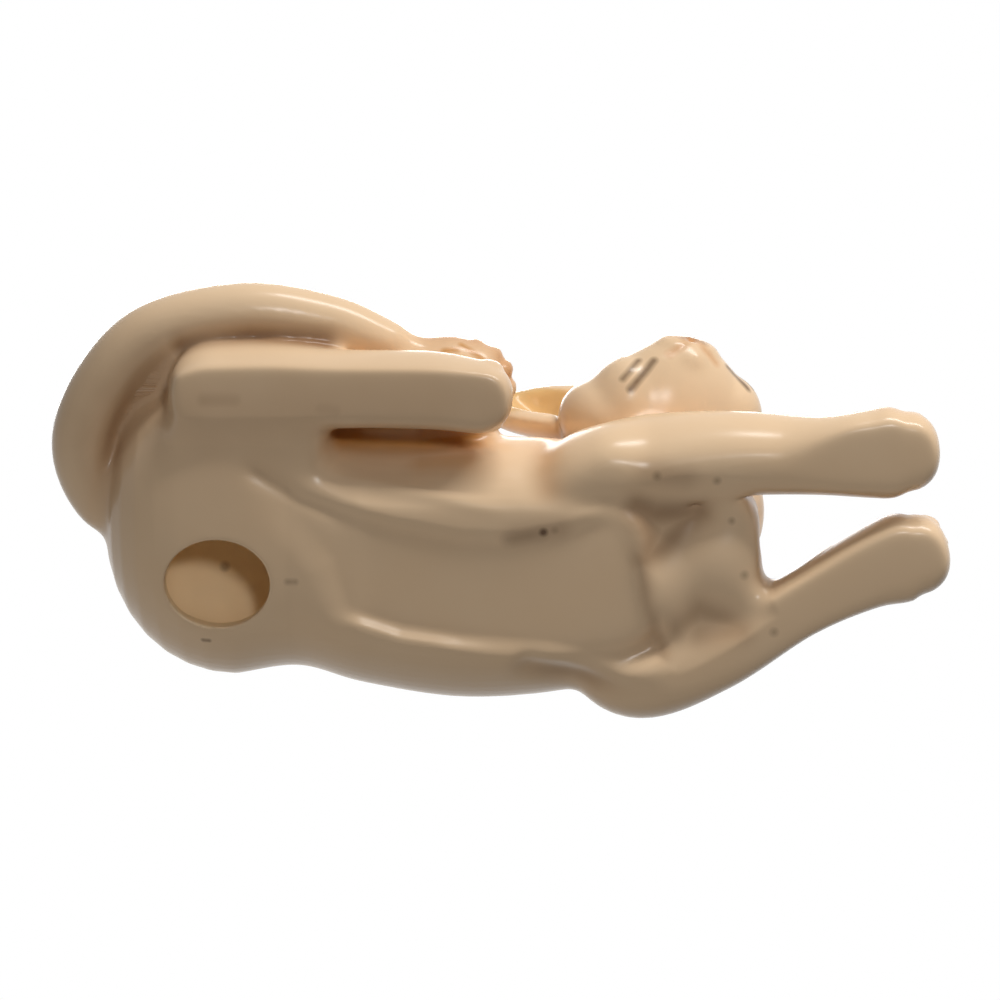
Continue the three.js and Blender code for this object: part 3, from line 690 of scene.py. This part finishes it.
orange = {
    "lines": [
        ([(8, -8, 14.5), (8.1, -5.9, 5.4), (8.4, -1.8, 1.6)], 2.6, 0.3),
        ([(-12.2, -23.9, 18), (-6.1, -25.1, 18), (-1.7, -22.2, 18), (1.4, -19.9, 17)], 3.6, 0.75),
        ([(66, -14.5, 6), (73, -11, 6)], 3, 0.22),
        ([(74, 4.5, 6), (76, 9, 6)], 3, 0.22),
    ],
    "nose": (17.4, 0, -0.4),
    "noseWidth": 3.0,
    "noseStrength": 0.85,
}
noseGap = np.linalg.norm(seenFrom(headFrame) - orange["nose"], axis=1)
orangeWash = orange["noseStrength"] * soft(noseGap, orange["noseWidth"]) * isHead
orangeWash = brushed(orangeWash, orange["lines"])

# amber airbrush and painted shade in the slot between the hind foot and the belly, and just below it
amberAndShadeLines = [
    ([(-27, -9.5, 9), (-20, -9, 10.5), (-12, -9, 10.5), (-4.5, -9.5, 11.5)], 3.2, 0.95),
    ([(-13, -5.5, 6), (-6, -5.5, 7)], 2.6, 0.35),
]
amberAndShadeWash = brushed(np.zeros(count), amberAndShadeLines)

goldAndPaintedLight = {
    # painted light: a bright gold strip in the slot between the hind foot and the belly, for light coming
    # through the gap
    "lines": [([(-22.3, -11, 10.6), (-15.4, -11.2, 10.4)], 1.3, 1)],
    "earFacing": (0.2, 0.35),  # start, fade
    "earRim": (2.6, 1.6),
    "earTip": (0.98, 3),  # share of the length, fade
}
goldAndPaintedLightWash = np.zeros(count)
for node, stand in earPlaces.items():
    local = seenFrom(stand)
    facing = normals @ np.array(stand.inverted())[:3, :3].T
    start, fade = goldAndPaintedLight["earFacing"]
    inner = eased(facing[:, 2] / fade - start)
    rim, fade = goldAndPaintedLight["earRim"]
    inner *= eased((ear["width"] / 2 - rim - np.abs(local[:, 1])) / fade)
    share, fade = goldAndPaintedLight["earTip"]
    inner *= eased((ear["length"] * share - local[:, 0]) / fade)
    goldAndPaintedLightWash += inner * (owner == nodeNames.index(node))
goldAndPaintedLightWash = brushed(goldAndPaintedLightWash, goldAndPaintedLight["lines"])
amberAndShadeWash *= 1 - goldAndPaintedLightWash
tanWash *= 1 - np.clip(orangeWash + amberAndShadeWash + goldAndPaintedLightWash, 0, 1)
washes = {
    "tanWash": tanWash,
    "orangeWash": orangeWash,
    "amberAndShadeWash": amberAndShadeWash,
    "goldAndPaintedLightWash": goldAndPaintedLightWash,
    "bareClay": bareClay,
}
print("washes", {name: round(float(weight.mean()), 3) for name, weight in washes.items()})


# Glaze and clay
class Value:
    def __init__(self, finish, socket):
        self.finish = finish
        self.socket = socket

    def maths(self, operation, a, b):
        return self.finish.node("ShaderNodeMath", {"operation": operation}, {0: a, 1: b})

    def __add__(self, other):
        return self.maths("ADD", self, other)

    def __sub__(self, other):
        return self.maths("SUBTRACT", self, other)

    def __rsub__(self, other):
        return self.maths("SUBTRACT", other, self)

    def __mul__(self, other):
        return self.maths("MULTIPLY", self, other)

    def __truediv__(self, other):
        return self.maths("DIVIDE", self, other)

    def __rtruediv__(self, other):
        return self.maths("DIVIDE", other, self)

    __radd__ = __add__
    __rmul__ = __mul__

    def held(self):
        return self.finish.node("ShaderNodeClamp", {}, {0: self})


class Finish:
    def __init__(self, tree):
        self.tree = tree
        tree.nodes.clear()

    def node(self, kind, settings, sockets, output=0):
        made = self.tree.nodes.new(kind)
        for key, value in settings.items():
            setattr(made, key, value)
        for key, value in sockets.items():
            if isinstance(value, Value):
                self.tree.links.new(value.socket, made.inputs[key])
            else:
                made.inputs[key].default_value = value
        return Value(self, made.outputs[output]) if made.outputs else None

    def mixed(self, amount, a, b):
        return self.node("ShaderNodeMix", {"data_type": "RGBA"}, {0: amount, 6: a, 7: b}, 2)

    def vector(self, operation, a, b, output=0):
        return self.node("ShaderNodeVectorMath", {"operation": operation}, {0: a, 1: b}, output)

    def lineGap(self, place, a, b):  # distance from the line between two points
        span = b - a
        reach = self.vector("SUBTRACT", place, a)
        share = (self.vector("DOT_PRODUCT", reach, span, "Value") / max(span.dot(span), 1e-12)).held()
        onto = self.node("ShaderNodeVectorMath", {"operation": "SCALE"}, {0: span, "Scale": share})
        return self.vector("DISTANCE", reach, onto, "Value")

    def seenRay(self):  # 1 for what the camera sees, also mirrored or through something clear
        straight, mirrored, through = [
            self.node("ShaderNodeLightPath", {}, {}, f"Is {kind} Ray")
            for kind in ("Camera", "Glossy", "Transmission")
        ]
        return (straight + mirrored + through).held()


def newMaterial(name):
    material = bpy.data.materials.new(name)
    material.use_nodes = True
    return material, Finish(material.node_tree)


def paint(red, green, blue):  # screen colour, 0 to 255
    parts = [c / 255 for c in (red, green, blue)]
    return (*[c / 12.92 if c <= 0.04045 else ((c + 0.055) / 1.055) ** 2.4 for c in parts], 1)


glaze = {
    "ivory": paint(240, 208, 170),
    "warm": paint(230, 191, 146),
    # tan airbrush colour, also the colour of the painted shade
    "tan": paint(122, 74, 28),
    "orange": paint(206, 142, 82),
    # amber airbrush colour, also the colour of the painted shade in the slot
    "amberAndShade": paint(196, 132, 52),
    # gold paint inside the ears, also the colour of the painted light in the slot
    "goldAndPaintedLight": paint(224, 182, 122),
    "clay": paint(254, 226, 182),
    "umber": paint(96, 68, 44),
    "iris": paint(150, 140, 70),
    "white": paint(246, 240, 230),
    "cloud": {"Scale": 60.0, "Detail": 3.0},
    "grain": {"Scale": 420.0, "Detail": 2.0},
    "ripple": {"Scale": 170.0, "Detail": 2.0},
    "warmShare": 0.35,
    "warmRange": (1.6, 0.5),  # gain, start
    "washPatches": (0.75, 0.5),  # least, by the cloud
    "markPatches": (0.7, 0.6),  # least, by the grain
    "roughness": 0.2,
    "grainRoughness": 0.08,
    "clayRoughness": 0.45,
    "bump": {"Strength": 0.03, "Distance": 0.001},
    "ior": 1.45,
    "specular": 0.28,
}
# Brush marks: points in mm, width of the stroke, softness, colour, strength
specks = [
    ([(7.3, 5.5, 0.8)], 1.3, 0.7, "umber", 0.85),
    ([(9.2, 5.2, 0.7)], 1.0, 0.9, "umber", 0.3),
    ([(1.5, 6.8, 0.6), (6.8, 5.8, 0.7)], 2.2, 1.8, "umber", 0.22),
    ([(26.4, -4, 0.4)], 1.2, 1.0, "umber", 0.4),
    ([(36.5, -3.1, 0.6)], 1.1, 0.9, "umber", 0.45),
    ([(39.2, 4.1, 3)], 1.0, 0.8, "umber", 0.4),
    ([(41.3, 13.2, 2.2)], 1.2, 1.0, "umber", 0.4),
    ([(46.5, 22.8, 0.2)], 1.2, 1.0, "umber", 0.4),
    ([(-36, 14.2, 0.6), (-34.7, 14.2, 0.6)], 0.9, 0.8, "umber", 0.35),
    ([(-51, 25.6, 2.2), (-49.9, 25.6, 2.2)], 0.7, 0.5, "umber", 0.65),
    ([(-48.2, 14.5, 15.3)], 1.6, 0.8, "umber", 0.5),
    ([(-9.6, -23.6, 13.5), (-7.4, -23.8, 13.6)], 0.9, 0.9, "amberAndShade", 0.8),
    ([(-6.6, -24.6, 14.6), (-4.4, -23.4, 13.6), (-3, -22.4, 13.2)], 0.9, 0.9, "amberAndShade", 0.8),
]
features = [  # in the head's own frame; the right whiskers hang lower than the left ones
    ([(12.3, -7, -5.5), (9.9, -8.9, -7), (7, -10.9, -8.1)], 1.3, 0.9, "umber", 0.75),
    ([(11.6, -9.4, -4.3), (9.9, -11.1, -6.1), (8.3, -12.2, -6.6)], 1.1, 0.9, "umber", 0.65),
    ([(13.4, 7.4, -3.8), (12, 9.5, -3.8), (10.4, 11.4, -5.2)], 1.3, 0.9, "umber", 0.75),
    ([(12.6, 9, -2), (11, 10.8, -2.4), (9.4, 12.2, -3.2)], 1.1, 0.9, "umber", 0.65),
    ([(17, -1.6, -2.6), (17.1, 0.4, -1.2), (16.8, 2.2, -3)], 1.4, 1.5, "tan", 0.5),
]
for line, *stroke in (  # mouth and eye, the same on both sides
    ([(16.6, 0, -2.4), (15.6, 2, -4.6), (13.6, 4.2, -5)], 1.3, 1.4, "orange", 0.55),
    ([(11.4, 3.5, 6), (8.8, 6.2, 6.8), (6, 8.8, 7.2)], 1.2, 0.4, "umber", 0.95),
    ([(10.3, 4.6, 6.4), (8.8, 6.2, 6.8), (7.2, 7.8, 7)], 2.4, 0.4, "umber", 0.95),
    ([(9.5, 5.5, 6.6), (8.1, 6.9, 6.9)], 3.4, 0.4, "umber", 0.95),
    ([(9.9, 5, 6.5), (7.7, 7.3, 6.9)], 1.7, 0.3, "iris", 0.95),
    ([(9.4, 5.6, 6.6), (8.2, 6.8, 6.9)], 2.6, 0.3, "iris", 0.95),
    ([(9.4, 6.6, 6.1), (8.2, 5.8, 7.2)], 1.2, 0.25, "umber", 1.0),
    # the white dot is a painted highlight in each eye
    ([(8.3, 6.7, 7.1)], 0.6, 0.2, "white", 1.0),
):
    features += [([(x, y * side, z) for x, y, z in line], *stroke) for side in (1, -1)]
faceMarks = [([headFrame @ Vector(p) for p in line], *stroke) for line, *stroke in features]
skinTree = BVHTree.FromPolygons(points.tolist(), [p.vertices for p in skin.polygons])


def glazedPorcelain(name, marks):
    material, finish = newMaterial(name)
    place = finish.node("ShaderNodeTexCoord", {}, {}, "Object")
    cloud, grain, ripple = [
        finish.node("ShaderNodeTexNoise", {}, {"Vector": place, **glaze[noise]})
        for noise in ("cloud", "grain", "ripple")
    ]
    washed = {}
    for wash in washes:
        washed[wash] = finish.node("ShaderNodeAttribute", {"attribute_name": wash}, {}, "Fac")
    gain, start = glaze["warmRange"]
    warmth = (cloud * gain - start).held() * glaze["warmShare"]
    colour = finish.mixed(warmth, glaze["ivory"], glaze["warm"])
    least, more = glaze["washPatches"]
    # the washes lay tan and amber airbrush with painted shade, orange paint, and gold paint with painted
    # light over the ivory
    for wash in ("goldAndPaintedLight", "orange", "amberAndShade", "tan"):
        amount = (washed[wash + "Wash"] * (least + more * cloud)).held()
        colour = finish.mixed(amount, colour, glaze[wash])
    colour = finish.mixed(washed["bareClay"], colour, glaze["clay"])
    least, more = glaze["markPatches"]
    for line, width, edge, pigment, strength in marks:  # each point is set down on the skin
        spots = [toFrame @ skinTree.find_nearest(Vector(p))[0] for p in line]
        gap = finish.lineGap(place, spots[0], spots[min(1, len(spots) - 1)])
        for a, b in zip(spots[1:], spots[2:]):
            gap = gap.maths("MINIMUM", gap, finish.lineGap(place, a, b))
        amount = ((width / 2 * mm - gap) / (edge * mm) + 0.5).held() * strength
        colour = finish.mixed(amount * (least + more * grain), colour, glaze[pigment])
    rough = glaze["roughness"] + glaze["grainRoughness"] * grain
    rough = rough + glaze["clayRoughness"] * washed["bareClay"]
    bump = finish.node("ShaderNodeBump", {}, {"Height": ripple, **glaze["bump"]})
    shader = finish.node("ShaderNodeBsdfPrincipled", {}, {
        "Base Color": colour, "Roughness": rough, "IOR": glaze["ior"],
        "Specular IOR Level": glaze["specular"], "Normal": bump,
    })
    finish.node("ShaderNodeOutputMaterial", {}, {"Surface": shader})
    return material


porcelain = glazedPorcelain("glazedPorcelain", specks)
paintedFace = glazedPorcelain("paintedFace", faceMarks)
print("glazes mixed")

# One closed piece for each casting
capSink = 8  # mm that the middle of a cap lies under the skin


def cutPiece(node, otherFaces):
    bm = bmesh.new()
    bm.from_mesh(skin)
    bm.faces.ensure_lookup_table()
    source = bm.verts.layers.int.new("source")
    for v in bm.verts:
        v[source] = v.index
    bmesh.ops.delete(bm, geom=[bm.faces[i] for i in otherFaces], context="FACES")
    rim = [e for e in bm.edges if e.is_boundary]
    cap = bmesh.ops.holes_fill(bm, edges=rim, sides=0)["faces"]
    poked = bmesh.ops.poke(bm, faces=cap)
    for v in poked["verts"]:  # the caps dip under the skin, also in a crevice
        around = [normals[e.other_vert(v)[source]] for e in v.link_edges]
        v.co -= Vector(np.mean(around, axis=0)) * capSink
    bm.normal_update()
    capFaces = set(poked["faces"])
    corner = []
    for f in bm.faces:
        f.smooth = f not in capFaces
        for loop in f.loops:
            corner.append(tuple(normals[loop.vert[source]] if f.smooth else f.normal))
    origin = [v[source] for v in bm.verts]
    openEdges = sum(1 for e in bm.edges if not e.is_manifold)
    bmesh.ops.transform(bm, matrix=toFrame, verts=bm.verts)
    mesh = bpy.data.meshes.new(node + "Glazed")
    bm.to_mesh(mesh)
    bm.free()
    mesh.normals_split_custom_set(corner)
    for name, weight in washes.items():
        layer = mesh.attributes.new(name, "FLOAT", "POINT")
        layer.data.foreach_set("value", weight[origin].astype(np.float32))
    print("piece", node, len(mesh.polygons), "faces, open edges", openEdges)
    return mesh


faceOwner = np.array([np.bincount(owner[list(p.vertices)]).argmax() for p in skin.polygons])
for k, node in enumerate(nodeNames):
    mesh = cutPiece(node, np.flatnonzero(faceOwner != k))
    mesh.materials.append(paintedFace if node == "head" else porcelain)
    piece = bpy.data.objects.new(node + "Glazed", mesh)
    bpy.context.scene.collection.objects.link(piece)
    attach(piece, "root")
    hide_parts(node)

# Camera where the photograph was taken, looking up at the underside
camera = {"distance": 420, "tilt": 10, "lens": 89.96, "near": 0.01}
tilt = math.radians(camera["tilt"])
look = Vector((0, math.sin(tilt), math.cos(tilt)))
up = Vector((0, -math.cos(tilt), math.sin(tilt)))
eye = bpy.data.objects.new("eye", bpy.data.cameras.new("eye"))
bpy.context.scene.collection.objects.link(eye)
eye.matrix_world = Matrix((alongX, up, -look)).transposed().to_4x4()
eye.location = (figureZero - look * camera["distance"]) * mm
eye.data.lens = camera["lens"]
eye.data.clip_start = camera["near"]
bpy.context.scene.camera = eye
bpy.context.scene.view_settings.view_transform = "Standard"

# Lamps, pale surroundings and a floor that shows from above
lamps = {  # place and size in m, power, seen in the glaze
    "key": ((0.26, -0.56, -0.045), (0.4, 0.07), 3.2, True),
    "window": ((0.16, -0.28, -0.6), (0.09, 0.09), 1.0, True),
    "fill": ((-0.45, 0.5, -0.1), (0.4, 0.12), 0.8, False),
    "top": ((-0.15, -0.1, 0.75), (0.5, 0.5), 3.6, True),
}
for name, (spot, size, power, mirrored) in lamps.items():
    lamp = bpy.data.objects.new(name, bpy.data.lights.new(name, "AREA"))
    bpy.context.scene.collection.objects.link(lamp)
    lamp.location = spot
    lamp.rotation_euler = (-Vector(spot)).to_track_quat("-Z", "Y").to_euler()
    lamp.data.shape = "RECTANGLE"
    lamp.data.size, lamp.data.size_y = size
    lamp.data.energy = power
    lamp.visible_glossy = mirrored

room = {
    "white": (1, 1, 1, 1),
    "light": 0.07,  # what the surroundings add to the lamps
    "shown": 1.0,
    "floorHalf": 2,
    "floorDrop": 0.0002,
    "floorColour": (0.9, 0.9, 0.9, 1),
    "floorGlow": 1.2,
    "glowShare": 0.6,
}
world = bpy.data.worlds.new("surroundings")
bpy.context.scene.world = world
world.use_nodes = True
finish = Finish(world.node_tree)
sky = finish.node("ShaderNodeBackground", {}, {"Color": room["white"], "Strength": room["light"]})
white = finish.node("ShaderNodeBackground", {}, {"Color": room["white"], "Strength": room["shown"]})
both = finish.node("ShaderNodeMixShader", {}, {0: finish.seenRay(), 1: sky, 2: white})
finish.node("ShaderNodeOutputWorld", {}, {"Surface": both})

floorMesh = bpy.data.meshes.new("floor")
bm = bmesh.new()
bmesh.ops.create_grid(bm, x_segments=1, y_segments=1, size=room["floorHalf"])
bm.to_mesh(floorMesh)
bm.free()
floor = bpy.data.objects.new("floor", floorMesh)
bpy.context.scene.collection.objects.link(floor)
floor.location.z = -room["floorDrop"]
paleFloor, finish = newMaterial("paleFloor")
fromBelow = finish.node("ShaderNodeNewGeometry", {}, {}, "Backfacing")
shown = finish.seenRay() * (1 - fromBelow)
matt = finish.node("ShaderNodeBsdfDiffuse", {}, {"Color": room["floorColour"]})
glow = finish.node("ShaderNodeEmission", {}, {"Color": room["white"], "Strength": room["floorGlow"]})
pale = finish.node("ShaderNodeMixShader", {}, {0: room["glowShare"], 1: matt, 2: glow})
clear = finish.node("ShaderNodeBsdfTransparent", {}, {})
surface = finish.node("ShaderNodeMixShader", {}, {0: shown, 1: clear, 2: pale})
finish.node("ShaderNodeOutputMaterial", {}, {"Surface": surface})
floorMesh.materials.append(paleFloor)
print("camera, lamps and floor placed")
